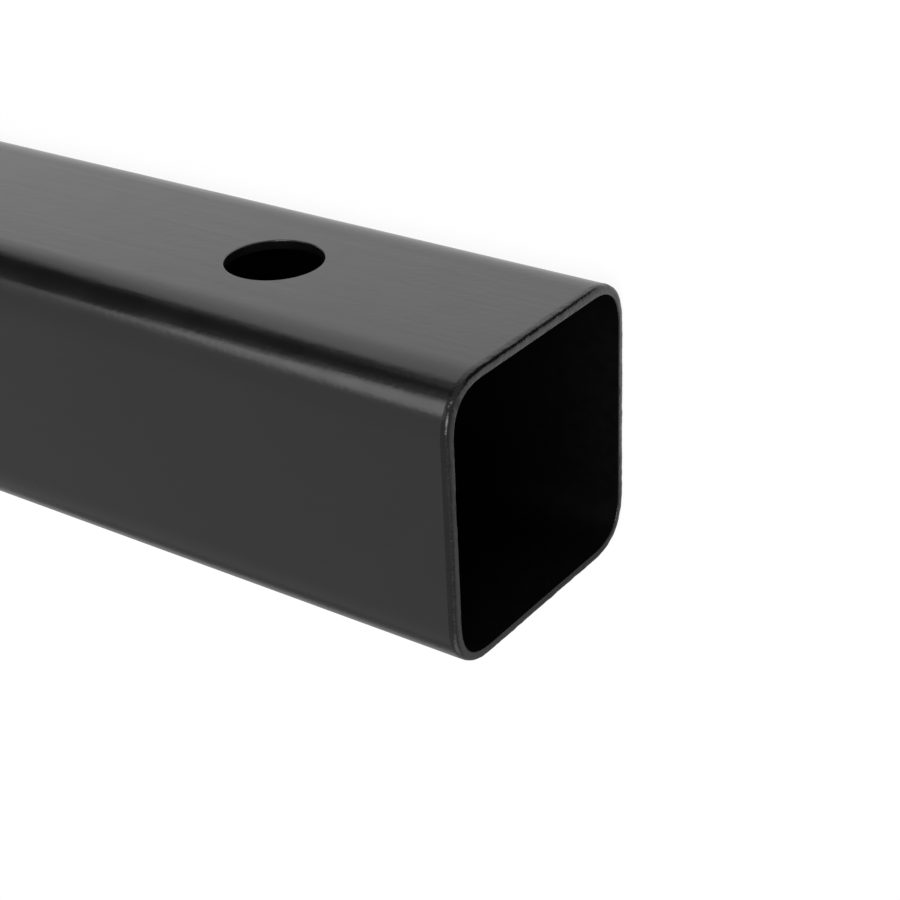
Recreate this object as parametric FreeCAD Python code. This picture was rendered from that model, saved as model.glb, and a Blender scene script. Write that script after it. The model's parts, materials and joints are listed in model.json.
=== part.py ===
# Hitch flagpole mount: a square steel shank that slides into a 2 inch hitch receiver and is held
# there by a pin, with an upright pole sleeve welded to its far end. The shank's end is coped to fit
# the round sleeve, a gusset braces the two, a disc closes the sleeve's foot, and two clamp screws
# with star knobs press the pole against the sleeve's front wall through swivel pads.
#
# Frame: the origin is where the hitch pin crosses the shank's axis. +X runs along the shank from
# the receiver to the pole, +Z is up along the pole, and the hitch pin lies along Y.
import FreeCAD, Part
import math
import os

# Driving dimensions, in millimetres

# Shank: welded square tube, open at the receiver end
shank_width = 50.8
shank_wall = 1.65
shank_corner_radius = 8.3
shank_least_inner_radius = 0.5
shank_rim_round = 0.8
shank_end_to_pole = 300.0
pin_hole_diameter = 17.0
pin_hole_from_end = 52.7
pin_hole_edge_break = 0.2
seam_across = -5.0
seam_width = 7.0
seam_depth = 0.2

# Pole sleeve: round tube, upright on the base disc
sleeve_diameter = 60.3
sleeve_wall = 2.6
sleeve_height = 177.0
sleeve_rim_bevel = 0.8

# Disc that closes the sleeve's foot, level with the shank's underside
base_thickness = 3.0
drain_hole_diameter = 10.0

# Gusset plate between the shank's top and the sleeve's front
gusset_thickness = 5.0
gusset_length = 72.0
gusset_height = 64.0
gusset_toe_height = 9.0
gusset_land = 12.0
gusset_hollow = 8.0
gusset_weld_gap_radius = 9.0

# Welds, by leg or radius
joint_weld_leg = 2.6
joint_weld_low_gap = 10.0
gusset_bead_radius = 3.0
gusset_bead_end_gap = 2.0
base_weld_depth = 1.5
nut_bead_leg = 3.6
nut_bead_rise = 3.4
nut_bead_edge = 0.4

# Clamp screws: the lower one's height above the shank's axis, the upper one's below the sleeve's
# mouth, and their travel
lower_screw_height = 12.0
upper_screw_from_mouth = 36.6
screw_travel = 24.0
screw_diameter = 10.0
thread_clearance = 0.06
knob_stop_gap = 1.5

# Weld nuts on the sleeve's rear
nut_across_flats = 17.0
nut_thickness = 8.4

# Hex bolt head, pressed into the knob
head_across_flats = 16.0
head_thickness = 6.4
head_pocket_clearance = 0.1
head_sunk = 1.2

# Star knob
knob_diameter = 46.0
knob_thickness = 15.0
knob_lobes = 5
knob_scallop_radius = 10.5
knob_scallop_depth = 6.0
knob_lobe_round = 3.4
knob_edge_bevel = 1.6
knob_edge_draw = 3.2
knob_hub_diameter = 22.0
knob_hub_length = 9.0

# Swivel pad on the end of each screw
pad_diameter = 14.0
pad_thickness = 2.3
pad_edge_chamfer = 0.5
pad_recess = 0.15
pad_hole_clearance = 0.5
pad_stem_diameter = 5.0
pad_stem_length = 6.0
pad_stem_clearance = 0.05
pad_stem_end_gap = 0.8
pad_screw_gap = 0.05

# Places that follow from the driving dimensions
half_width = shank_width / 2
shank_top = half_width
ground = -half_width
shank_end_x = -pin_hole_from_end
pole_x = shank_end_x + shank_end_to_pole
sleeve_radius = sleeve_diameter / 2
bore_radius = sleeve_radius - sleeve_wall
sleeve_foot = ground + base_thickness
sleeve_top = sleeve_foot + sleeve_height
upper_screw_height = sleeve_top - upper_screw_from_mouth
screw_radius = screw_diameter / 2
thread_bore_radius = screw_radius + thread_clearance
nut_inner_x = pole_x + sleeve_radius
nut_outer_x = nut_inner_x + nut_thickness
pad_hole_radius = pad_diameter / 2 + pad_hole_clearance
pad_face_x = pole_x + bore_radius + pad_recess
pad_back_x = pad_face_x + pad_thickness
screw_tip_x = pad_back_x + pad_screw_gap
knob_front_x = nut_outer_x + screw_travel + knob_stop_gap
knob_body_x = knob_front_x + knob_hub_length
knob_back_x = knob_body_x + knob_thickness
head_seat_x = knob_back_x - head_sunk - head_thickness
screw_heights = {"lower": lower_screw_height, "upper": upper_screw_height}

ALONG_X = FreeCAD.Vector(1, 0, 0)
ALONG_Y = FreeCAD.Vector(0, 1, 0)
ALONG_Z = FreeCAD.Vector(0, 0, 1)
past_edge = 1.0
touching = 1e-3


def point(x, y, z):
    return FreeCAD.Vector(x, y, z)


def rod(radius, start, length, direction):
    """A plain cylinder from a start point."""
    return Part.makeCylinder(radius, length, start, direction)


def flat_face(*corners):
    return Part.Face(Part.makePolygon(corners + corners[:1]))


def hex_corners(across_flats, x, height):
    """The corners of a hexagon square to X round a screw's axis, two of them up and down."""
    corner = across_flats / math.sqrt(3)
    angles = [math.radians(90 + 60 * k) for k in range(6)]
    return [point(x, corner * math.cos(a), height + corner * math.sin(a)) for a in angles]


def hex_bar(across_flats, start_x, length, height):
    """A hexagonal bar along X on a screw's axis."""
    return flat_face(*hex_corners(across_flats, start_x, height)).extrude(ALONG_X * length)


def hex_frustum(foot, rise):
    """A six-sided block that narrows from one hexagon to another, both given by their corners."""
    sides = [
        flat_face(foot[k - 1], foot[k], rise[k], rise[k - 1]) for k in range(len(foot))
    ]
    return Part.Solid(Part.Shell(sides + [flat_face(*foot), flat_face(*rise)]))


def turned(outline, height):
    """A solid turned about a screw's axis from (x, radius) points."""
    face = flat_face(*(point(x, 0, height + radius) for x, radius in outline))
    return face.revolve(point(0, 0, height), ALONG_X, 360)


def square_outline(width, corner_radius, x, seam=None):
    """The tube's rounded square in the YZ plane, as a face. A seam is (across, width, depth): the
    shallow groove that is left in the top wall, inside, where the tube's own seam is planed off."""
    half = width / 2
    flat = half - corner_radius
    diagonal = corner_radius / math.sqrt(2)
    edges = []
    for turn in range(4):
        spin = FreeCAD.Rotation(ALONG_X, 90 * turn)

        def at(y, z):
            return point(x, 0, 0) + spin.multVec(point(0, y, z))

        if seam and turn == 0:
            across, seam_half, depth = seam[0], seam[1] / 2, seam[2]
            left, right = at(across - seam_half, half), at(across + seam_half, half)
            edges.append(Part.LineSegment(at(-flat, half), left))
            edges.append(Part.Arc(left, at(across, half + depth), right))
            edges.append(Part.LineSegment(right, at(flat, half)))
        else:
            edges.append(Part.LineSegment(at(-flat, half), at(flat, half)))
        corner_middle = at(flat + diagonal, flat + diagonal)
        edges.append(Part.Arc(at(flat, half), corner_middle, at(half, flat)))
    wire = Part.Wire(Part.__sortEdges__([e.toShape() for e in edges]))
    return Part.Face(wire)


def shank_block():
    """The shank's outer form with no hollow, up to the sleeve's axis."""
    return square_outline(shank_width, shank_corner_radius, shank_end_x).extrude(
        ALONG_X * shank_end_to_pole
    )


def sleeve_block():
    """The outer form of the sleeve and its base disc together, with no bore."""
    return rod(sleeve_radius, point(pole_x, 0, ground), base_thickness + sleeve_height, ALONG_Z)


def turned_upright(outline):
    """A solid turned about the sleeve's axis from (radius, z) points."""
    face = flat_face(*(point(pole_x + radius, 0, z) for radius, z in outline))
    return face.revolve(point(pole_x, 0, 0), ALONG_Z, 360)


def edges_on_plane(shape, axis, value):
    """The shape's edges that lie in one plane square to an axis."""
    found = []
    for edge in shape.Edges:
        box = edge.BoundBox
        low, high = getattr(box, axis + "Min"), getattr(box, axis + "Max")
        if abs(low - value) < touching and abs(high - value) < touching:
            found.append(edge)
    return found


def make_shank():
    inner_width = shank_width - 2 * shank_wall
    inner_radius = max(shank_corner_radius - shank_wall, shank_least_inner_radius)
    hollow = square_outline(
        inner_width, inner_radius, shank_end_x - past_edge, (seam_across, seam_width, seam_depth)
    ).extrude(ALONG_X * (shank_end_to_pole + past_edge))
    block = shank_block()
    rim = edges_on_plane(block, "X", shank_end_x)
    block = block.makeFillet(shank_rim_round, rim)
    pin = rod(
        pin_hole_diameter / 2, point(0, -half_width - past_edge, 0),
        shank_width + 2 * past_edge, ALONG_Y,
    )
    tube = block.cut(hollow).cut(sleeve_block()).cut(pin)
    hole_edges = edges_on_plane(tube, "Y", half_width) + edges_on_plane(tube, "Y", -half_width)
    circles = [e for e in hole_edges if isinstance(e.Curve, Part.Circle)]
    return tube.makeChamfer(pin_hole_edge_break, circles)


def make_sleeve():
    """The sleeve, with its mouth's outer edge broken and its foot bevelled for the base weld."""
    tube = turned_upright(
        [
            (bore_radius, sleeve_foot), (sleeve_radius - base_weld_depth, sleeve_foot),
            (sleeve_radius, sleeve_foot + base_weld_depth),
            (sleeve_radius, sleeve_top - sleeve_rim_bevel),
            (sleeve_radius - sleeve_rim_bevel, sleeve_top), (bore_radius, sleeve_top),
        ]
    )
    for height in screw_heights.values():
        tube = tube.cut(rod(pad_hole_radius, point(pole_x, 0, height), sleeve_diameter, ALONG_X))
    return tube


def make_base_disc():
    disc = rod(sleeve_radius, point(pole_x, 0, ground), base_thickness, ALONG_Z)
    drain_start = point(pole_x, 0, ground - past_edge)
    return disc.cut(rod(drain_hole_diameter / 2, drain_start, base_thickness + 2 * past_edge, ALONG_Z))


def make_base_weld():
    """The weld that fills the groove between sleeve and disc, dressed flush so that the shank's
    coped end fits over it."""
    return turned_upright(
        [
            (sleeve_radius, sleeve_foot), (sleeve_radius, sleeve_foot + base_weld_depth),
            (sleeve_radius - base_weld_depth, sleeve_foot),
        ]
    )


def make_gusset():
    """A plate in the XZ plane with a hollow sloping edge, coped to the sleeve and with its inner
    corner cut away round so that the joint's own weld can pass."""
    front_x = pole_x - sleeve_radius
    toe_x = front_x - gusset_length
    land_x = front_x - gusset_land
    top_z = shank_top + gusset_height
    toe = point(toe_x, 0, shank_top)
    toe_top = point(toe_x, 0, shank_top + gusset_toe_height)
    land = point(land_x, 0, top_z)
    slope = land - toe_top
    inward = point(slope.z, 0, -slope.x)
    inward.normalize()
    hollow_middle = (toe_top + land) * 0.5 + inward * gusset_hollow
    top_back = point(pole_x, 0, top_z)
    bottom_back = point(pole_x, 0, shank_top)
    edges = [
        Part.LineSegment(toe, toe_top),
        Part.Arc(toe_top, hollow_middle, land),
        Part.LineSegment(land, top_back),
        Part.LineSegment(top_back, bottom_back),
        Part.LineSegment(bottom_back, toe),
    ]
    face = Part.Face(Part.Wire([e.toShape() for e in edges]))
    face.translate(point(0, -gusset_thickness / 2, 0))
    plate = face.extrude(ALONG_Y * gusset_thickness)
    weld_gap = rod(
        gusset_weld_gap_radius, point(front_x, -gusset_thickness, shank_top),
        2 * gusset_thickness, ALONG_Y,
    )
    return plate.cut(sleeve_block()).cut(weld_gap)


def make_joint_weld():
    """The bead round the coped joint: up one side of the shank, over its top and down the other.
    It's a chamfer in the corner between the two outer forms, less the forms themselves."""
    forms = shank_block().fuse(sleeve_block())
    low = joint_weld_low_gap - half_width
    lower_corner = shank_corner_radius - half_width
    seam = []
    for edge in forms.Edges:
        middle = edge.valueAt((edge.FirstParameter + edge.LastParameter) / 2)
        on_sleeve = abs(math.hypot(middle.x - pole_x, middle.y) - sleeve_radius) < touching
        reach = edge.BoundBox.ZMax
        on_shank = lower_corner + touching < reach < shank_top + touching
        if on_sleeve and on_shank and middle.x < pole_x:
            seam.append(edge)
    bead = forms.makeChamfer(joint_weld_leg, seam).cut(forms)
    below = Part.makeBox(
        shank_end_to_pole, 2 * shank_width, shank_width,
        point(shank_end_x, -shank_width, low - shank_width),
    )
    return bead.cut(below)


def pair_of_beads(start, end, forms):
    """The two straight beads along the gusset's sides, each a round rod in its corner, kept on
    its own side and cut off the steel."""
    run = end - start
    beads = []
    for side in (-1, 1):
        across = ALONG_Y * (side * gusset_thickness / 2)
        half_space = Part.makeBox(
            2 * shank_end_to_pole, shank_width, 2 * sleeve_height,
            point(shank_end_x, -shank_width if side < 0 else 0, ground),
        )
        bead = rod(gusset_bead_radius, start + across, run.Length, run).common(half_space)
        for form in forms:
            bead = bead.cut(form)
        beads.append(bead)
    return Part.makeCompound(beads)


def make_gusset_foot_welds():
    front_x = pole_x - sleeve_radius
    start = point(front_x - gusset_length + gusset_bead_end_gap, 0, shank_top)
    end = point(front_x - gusset_weld_gap_radius - gusset_bead_end_gap, 0, shank_top)
    return pair_of_beads(start, end, [shank_block(), make_gusset()])


def make_gusset_back_welds():
    x = pole_x - math.sqrt(sleeve_radius**2 - (gusset_thickness / 2) ** 2)
    start = point(x, 0, shank_top + gusset_weld_gap_radius + gusset_bead_end_gap)
    end = point(x, 0, shank_top + gusset_height - gusset_bead_end_gap)
    return pair_of_beads(start, end, [sleeve_block(), make_gusset()])


def make_nut(height):
    blank = hex_bar(nut_across_flats, nut_inner_x, nut_thickness, height)
    bore_start = point(nut_inner_x - past_edge, 0, height)
    bore = rod(thread_bore_radius, bore_start, nut_thickness + 2 * past_edge, ALONG_X)
    return blank.cut(bore)


def make_nut_weld(height):
    """A fillet all round the nut, from its six sides down to the sleeve's curved wall."""
    foot_reach = nut_across_flats / math.sqrt(3) + nut_bead_leg
    foot_drop = sleeve_radius - math.sqrt(sleeve_radius**2 - foot_reach**2)
    foot_x = nut_inner_x - foot_drop - past_edge
    rise_x = nut_inner_x + nut_bead_rise
    foot = hex_corners(nut_across_flats + 2 * nut_bead_leg, foot_x, height)
    rise = hex_corners(nut_across_flats + 2 * nut_bead_edge, rise_x, height)
    nut = hex_bar(nut_across_flats, foot_x - past_edge, nut_outer_x - foot_x, height)
    return hex_frustum(foot, rise).cut(sleeve_block()).cut(nut)


def make_bolt(height):
    """The clamp screw: a hex bolt whose tip is bored for the swivel pad's stem."""
    stem_bore = pad_stem_diameter / 2 + pad_stem_clearance
    stem_end_x = screw_tip_x + pad_stem_length + pad_stem_end_gap
    stem = turned(
        [
            (screw_tip_x, stem_bore), (screw_tip_x, screw_radius),
            (head_seat_x + past_edge, screw_radius),
            (head_seat_x + past_edge, 0), (stem_end_x, 0), (stem_end_x, stem_bore),
        ],
        height,
    )
    head = hex_bar(head_across_flats, head_seat_x, head_thickness, height)
    return head.fuse(stem).removeSplitter()


def star_outline(x, height):
    """The knob's outline at one place along X, as a face: lobes on the outer circle, scallops
    between them, and a tangent arc where each lobe turns into a scallop."""
    outer = knob_diameter / 2
    scallop_at = outer - knob_scallop_depth + knob_scallop_radius
    round_at = outer - knob_lobe_round
    reach = knob_scallop_radius + knob_lobe_round
    turn = math.acos((round_at**2 + scallop_at**2 - reach**2) / (2 * round_at * scallop_at))

    def at(radius, angle):
        return point(x, radius * math.cos(angle), height + radius * math.sin(angle))

    edges = []
    for k in range(knob_lobes):
        lobe = math.pi / 2 + 2 * math.pi * k / knob_lobes
        hollow = lobe + math.pi / knob_lobes
        next_lobe = hollow + math.pi / knob_lobes
        scallop_middle = at(scallop_at - knob_scallop_radius, hollow)
        ends = []
        for side in (-1, 1):
            centre = at(round_at, hollow + side * turn)
            scallop_centre = at(scallop_at, hollow)
            inward = (scallop_centre - centre) * (knob_lobe_round / reach)
            outward = (centre - at(0, 0)) * (knob_lobe_round / round_at)
            bisector = inward + outward
            bisector.normalize()
            ends.append((centre + outward, centre + bisector * knob_lobe_round, centre + inward))
        before, after = ends
        edges.append(Part.Arc(before[0], before[1], before[2]))
        edges.append(Part.Arc(before[2], scallop_middle, after[2]))
        edges.append(Part.Arc(after[2], after[1], after[0]))
        lobe_end = at(outer, next_lobe + math.pi / knob_lobes - turn)
        edges.append(Part.Arc(after[0], at(outer, next_lobe), lobe_end))
    return Part.Face(Part.Wire(Part.__sortEdges__([e.toShape() for e in edges])))


def make_knob(height):
    """A star knob with a hub towards the nut and its lobes bevelled at the face. A hex pocket in
    the face holds the bolt's head, and the bolt passes through the hub."""
    rim = knob_diameter / 2
    blank = turned(
        [
            (knob_body_x, 0), (knob_body_x, rim), (knob_back_x - knob_edge_bevel, rim),
            (knob_back_x, rim - knob_edge_draw), (knob_back_x, 0),
        ],
        height,
    )
    body = star_outline(knob_body_x, height).extrude(ALONG_X * knob_thickness).common(blank)
    hub_start = point(knob_front_x, 0, height)
    hub = rod(knob_hub_diameter / 2, hub_start, knob_hub_length + past_edge, ALONG_X)
    pocket_width = head_across_flats + 2 * head_pocket_clearance
    pocket = hex_bar(pocket_width, head_seat_x, knob_thickness, height)
    hole = rod(
        screw_radius + head_pocket_clearance, point(knob_front_x - past_edge, 0, height),
        knob_back_x - knob_front_x, ALONG_X,
    )
    return body.fuse(hub).removeSplitter().cut(pocket).cut(hole)


def make_pad(height):
    """The swivel pad: a thin disc with a stem that turns freely in the bolt's bored tip."""
    edge = pad_diameter / 2
    stem = pad_stem_diameter / 2
    stem_end_x = screw_tip_x + pad_stem_length
    return turned(
        [
            (pad_face_x, 0), (pad_face_x, edge - pad_edge_chamfer),
            (pad_face_x + pad_edge_chamfer, edge), (pad_back_x, edge),
            (pad_back_x, stem), (stem_end_x, stem), (stem_end_x, 0),
        ],
        height,
    )


def all_pieces():
    """Each node's name and its shape."""
    pieces = {
        "shank_tube": make_shank(),
        "pole_sleeve": make_sleeve(),
        "base_disc": make_base_disc(),
        "gusset_plate": make_gusset(),
        "joint_weld": make_joint_weld(),
        "gusset_foot_welds": make_gusset_foot_welds(),
        "gusset_back_welds": make_gusset_back_welds(),
        "base_weld": make_base_weld(),
    }
    for level, height in screw_heights.items():
        pieces[level + "_weld_nut"] = make_nut(height)
        pieces[level + "_nut_weld"] = make_nut_weld(height)
        pieces[level + "_clamp_bolt"] = make_bolt(height)
        pieces[level + "_knob"] = make_knob(height)
        pieces[level + "_swivel_pad"] = make_pad(height)
    return pieces


def main():
    os.makedirs("parts", exist_ok=True)
    for name, shape in all_pieces().items():
        shape.exportStep("parts/" + name + ".step")
        solids = len(shape.Solids)
        print(f"{name}: {solids} solid(s), {shape.Volume / 1000:.2f} cm3, valid {shape.isValid()}")


main()
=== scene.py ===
# %% [markdown]
# # Dressing a hitch flagpole mount
#
# The mount is a square steel shank that slides into a 2 inch receiver, an upright round sleeve for
# the pole, a gusset between them and two clamp screws with star knobs. Its construction is loaded as
# a fixed frame. Here each piece gets the shape and finish that the eye expects: rounded tube
# corners, a sawn and coated rim, rippled weld beads, cut threads and moulded knobs.
#
# Everything is in metres, in the frame of the construction: X runs from the open end to the pole, Z is
# up along the pole and the hitch pin crosses along Y.

import json
import math
import random

import bmesh
import bpy
from mathutils import Matrix, Vector


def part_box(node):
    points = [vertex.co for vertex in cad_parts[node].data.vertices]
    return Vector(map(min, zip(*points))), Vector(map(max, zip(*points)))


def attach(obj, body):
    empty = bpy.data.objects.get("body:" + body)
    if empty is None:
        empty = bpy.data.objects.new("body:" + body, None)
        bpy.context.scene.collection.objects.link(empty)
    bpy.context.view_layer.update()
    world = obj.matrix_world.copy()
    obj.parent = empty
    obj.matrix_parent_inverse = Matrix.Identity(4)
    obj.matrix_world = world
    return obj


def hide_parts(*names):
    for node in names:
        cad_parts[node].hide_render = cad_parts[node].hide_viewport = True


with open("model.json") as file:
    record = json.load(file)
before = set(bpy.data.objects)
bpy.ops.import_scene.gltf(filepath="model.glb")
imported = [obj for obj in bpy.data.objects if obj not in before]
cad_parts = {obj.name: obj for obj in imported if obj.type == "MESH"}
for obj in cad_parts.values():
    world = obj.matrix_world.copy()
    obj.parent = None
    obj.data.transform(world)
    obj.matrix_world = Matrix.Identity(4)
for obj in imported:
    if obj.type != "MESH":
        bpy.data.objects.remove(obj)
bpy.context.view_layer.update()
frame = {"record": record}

# %% [markdown]
# The driving sizes come from the frame itself. A node's box gives its outside, and the mounts in the
# record give the pin hole and the socket. Only the tube's wall and the width of its corners are typed
# in, because no box shows them.

# %% Sizes of the tube and the sleeve
MM = 0.001
mount_sizes = {mount["name"]: mount["dims"] for mount in frame["record"]["mounts"]}
shank_low, shank_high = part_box("shank_tube")
sleeve_low, sleeve_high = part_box("pole_sleeve")

SHANK_WIDTH = shank_high.y - shank_low.y
SHANK_WALL = 1.65 * MM
SHANK_CORNER = 10 * MM
OPEN_END = shank_low.x
SHANK_TOP = shank_high.z
GROUND = shank_low.z
SLEEVE_RADIUS = (sleeve_high.y - sleeve_low.y) / 2
POLE_X = (sleeve_high.x + sleeve_low.x) / 2
BORE_RADIUS = mount_sizes["pole_socket"]["r_mm"] * MM
PIN_HOLE_RADIUS = mount_sizes["hitch_pin_hole"]["r_mm"] * MM
print("shank", SHANK_WIDTH, "sleeve radius", SLEEVE_RADIUS, "pole at", POLE_X)
print("bore", BORE_RADIUS, "pin hole", PIN_HOLE_RADIUS)

# %% [markdown]
# Modelling goes on with the same few moves: take one piece in hand, open it for editing, pick the
# edges or faces that lie in some place, and work on just those. These helpers name the moves.

# %% Helpers: taking a piece in hand
def take(*pieces):
    """Selects only these pieces. The last one is active."""
    bpy.ops.object.select_all(action="DESELECT")
    for piece in pieces:
        piece.select_set(True)
    bpy.context.view_layer.objects.active = pieces[-1]


def settle(piece, name):
    """Names a piece and its mesh, and puts its place, turn and size into the mesh."""
    piece.name = piece.data.name = name
    take(piece)
    bpy.ops.object.transform_apply(location=True, rotation=True, scale=True)
    return piece


def fresh(name):
    """Settles the primitive that was just added."""
    return settle(bpy.context.active_object, name)


def twin_of(piece):
    """A copy with a mesh of its own."""
    twin = piece.copy()
    twin.data = piece.data.copy()
    bpy.context.collection.objects.link(twin)
    return twin


def open_mesh(piece):
    """Edit mode, with nothing selected."""
    take(piece)
    bpy.ops.object.mode_set(mode="EDIT")
    bpy.ops.mesh.select_all(action="DESELECT")


def close_mesh():
    bpy.ops.object.mode_set(mode="OBJECT")


def pick_all():
    bpy.ops.mesh.select_all(action="SELECT")


def close_outwards():
    """Turns every face outwards and ends editing."""
    pick_all()
    bpy.ops.mesh.normals_make_consistent(inside=False)
    close_mesh()


def pick(piece, kind, test):
    """In edit mode, selects just the points, edges or faces that pass a test."""
    bpy.ops.mesh.select_mode(type=kind)
    bpy.ops.mesh.select_all(action="DESELECT")
    mesh = bmesh.from_edit_mesh(piece.data)
    parts = {"VERT": mesh.verts, "EDGE": mesh.edges, "FACE": mesh.faces}[kind]
    for part in parts:
        if test(part):
            part.select = True
    mesh.select_flush_mode()
    bmesh.update_edit_mesh(piece.data)


def round_edges(piece, test, width, segments, fullness=0.5):
    """Bevels the edges that pass a test. At a fullness of a half the round is a circle's arc."""
    open_mesh(piece)
    pick(piece, "EDGE", test)
    bpy.ops.mesh.bevel(offset=width, segments=segments, profile=fullness)
    close_mesh()


def report(label, piece):
    print(label, len(piece.data.polygons), "faces")


# %% Helpers: modifiers that are applied at once
def modify(piece, kind, **settings):
    take(piece)
    modifier = piece.modifiers.new(kind.lower(), kind)
    for name, value in settings.items():
        setattr(modifier, name, value)
    bpy.ops.object.modifier_apply(modifier=modifier.name)


def carve(piece, tool, how="DIFFERENCE"):
    """Cuts the tool out of the piece, keeps only what they share or joins them, and removes the tool."""
    modify(piece, "BOOLEAN", object=tool, operation=how, solver="EXACT")
    bpy.data.objects.remove(tool)
    return piece


def break_edges(piece, width, segments=2):
    """Rounds every edge that is sharper than 40 degrees."""
    limit = math.radians(40)
    modify(piece, "BEVEL", width=width, segments=segments, limit_method="ANGLE", angle_limit=limit)


def smooth(piece, sharpest=35):
    """Smooth shading that breaks at sharp edges, with flat faces kept flat beside small bevels."""
    take(piece)
    bpy.ops.object.shade_smooth_by_angle(angle=math.radians(sharpest))
    modify(piece, "WEIGHTED_NORMAL", keep_sharp=True)


def block(name, low, high):
    """A box between two corners."""
    low, high = Vector(low), Vector(high)
    bpy.ops.mesh.primitive_cube_add(size=1, location=(low + high) / 2, scale=high - low)
    return fresh(name)


def bar(name, radius, start, end, sides=96):
    """A round bar between two points, the usual blank or cutter."""
    start, end = Vector(start), Vector(end)
    bpy.ops.mesh.primitive_cylinder_add(
        vertices=sides, radius=radius, depth=(end - start).length, location=(start + end) / 2,
        rotation=(end - start).to_track_quat("Z", "Y").to_euler(),
    )
    return fresh(name)


# %% [markdown]
# ## The shank
#
# The real one is a length of welded square tube: strip that is rolled round, closed by a seam inside
# and squared by rollers, so its corners are generous arcs and its four sides are nearly flat. It
# could be drawn as a profile and extruded. A block with four bevelled edges is quicker to change: its
# ends are removed and the wall is grown inwards. The bevel's profile makes the arcs a little fuller
# than a quarter circle, as rollers do.

# %% Shank: the rounded block
# Places that are nearer to each other than TOUCH count as the same
TOUCH = MM / 1000
CORNER_FULLNESS = 0.573
CORNER_STEPS = 28
SIDE_STEPS = 71


def along_x(edge):
    a, b = (v.co for v in edge.verts)
    return abs(a.x - b.x) > 10 * MM


def across_side(edge):
    """One of the straight edges that run across a flat side, at either end of the tube."""
    a, b = (v.co for v in edge.verts)
    return abs(a.x - b.x) < TOUCH and (a - b).length > 10 * MM


def make_rounded_block():
    length = POLE_X - OPEN_END
    bpy.ops.mesh.primitive_cube_add(
        size=1, location=(OPEN_END + length / 2, 0, 0), scale=(length, SHANK_WIDTH, SHANK_WIDTH)
    )
    tube = fresh("shank")
    round_edges(tube, along_x, SHANK_CORNER, CORNER_STEPS, CORNER_FULLNESS)
    open_mesh(tube)
    pick(tube, "FACE", lambda face: abs(face.normal.x) > 0.9)
    bpy.ops.mesh.delete(type="ONLY_FACE")
    pick(tube, "EDGE", across_side)
    bpy.ops.mesh.subdivide(number_cuts=SIDE_STEPS - 1)
    close_mesh()
    return tube


shank = make_rounded_block()
report("rounded block:", shank)

# %% [markdown]
# The wall grows inwards from that skin. Inside the top wall runs a shallow groove, where the mill
# planes off the ridge that the tube's own seam leaves. It could be cut with a boolean, but the wall
# already has lines along it, so each line inside the groove is simply lifted to the groove's arc.

# %% Shank: the wall and the seam inside
SEAM_ACROSS = -5 * MM
SEAM_HALF = 3.5 * MM
SEAM_DEPTH = 0.2 * MM


def make_wall(tube):
    modify(tube, "SOLIDIFY", thickness=SHANK_WALL, offset=-1, use_even_offset=True)

    def inside_top(v):
        return abs(v.co.z - (SHANK_TOP - SHANK_WALL)) < TOUCH

    lines = {round(v.co.y / MM, 3) for v in tube.data.vertices if inside_top(v)}
    open_mesh(tube)
    for line in sorted(lines):
        from_middle = (line * MM - SEAM_ACROSS) / SEAM_HALF
        if abs(from_middle) < 1:
            pick(tube, "VERT", lambda v: inside_top(v) and abs(v.co.y - line * MM) < 10 * TOUCH)
            bpy.ops.transform.translate(value=(0, 0, SEAM_DEPTH * (1 - from_middle**2)))
    close_mesh()


make_wall(shank)
report("with its wall:", shank)

# %% [markdown]
# Two cuts finish it. The far end is coped, so that it fits the round sleeve, and the hitch pin hole
# goes through both side walls. The hole's edges are broken lightly, as after drilling.

# %% Shank: the cope and the pin hole
PIN_HOLE_BREAK = 0.2 * MM
CLEAR = 5 * MM
FINE = 256


def on_pin_hole(edge):
    """An edge of the hole's outline on one of the two outer side faces."""
    half = SHANK_WIDTH / 2
    return all(
        abs(abs(v.co.y) - half) < TOUCH and abs(math.hypot(v.co.x, v.co.z) - PIN_HOLE_RADIUS) < 10 * TOUCH
        for v in edge.verts
    )


def cut_shank(tube):
    half = SHANK_WIDTH / 2
    low, high = GROUND - CLEAR, SHANK_TOP + CLEAR
    carve(tube, bar("cope", SLEEVE_RADIUS, (POLE_X, 0, low), (POLE_X, 0, high), FINE))
    carve(tube, bar("pin", PIN_HOLE_RADIUS, (0, -half - CLEAR, 0), (0, half + CLEAR, 0), FINE // 2))
    round_edges(tube, on_pin_hole, PIN_HOLE_BREAK, 3)


cut_shank(shank)
report("cut:", shank)

# %% [markdown]
# The open end is what the eye meets first. The coat is thick there and crowns the cut, so its outer
# edge is rounded over nearly the whole wall, with a fuller curve than a circle's, and its inner edge is
# only just broken. A deburred saw cut is also a bit uneven, so a noise moves the rounded part by some
# hundredths of a millimetre, and one corner has a small nick.

# %% Shank: the open rim
RIM_ROUND = 1.4 * MM
RIM_FULLNESS = 0.68
RIM_INNER_ROUND = 0.2 * MM
RIM_UNEVEN = 0.18 * MM
RIM_UNEVEN_STEP = 1.5 * MM
NICK_TURN = math.radians(50)
NICK_SIZE = 1.1 * MM
NICK_DEPTH = 0.3 * MM
CORNER_CENTRE = SHANK_WIDTH / 2 - SHANK_CORNER


def out_from_core(co):
    """How far a point lies out from the square core that the corners turn round."""
    return math.hypot(max(abs(co.y) - CORNER_CENTRE, 0), max(abs(co.z) - CORNER_CENTRE, 0))


def rim_loop(outer):
    """A test for the outer or the inner edge of the open end."""
    divide = SHANK_CORNER - SHANK_WALL / 4

    def on_loop(co):
        return abs(co.x - OPEN_END) < TOUCH and (out_from_core(co) > divide) == outer

    return lambda edge: all(on_loop(v.co) for v in edge.verts)


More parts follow.
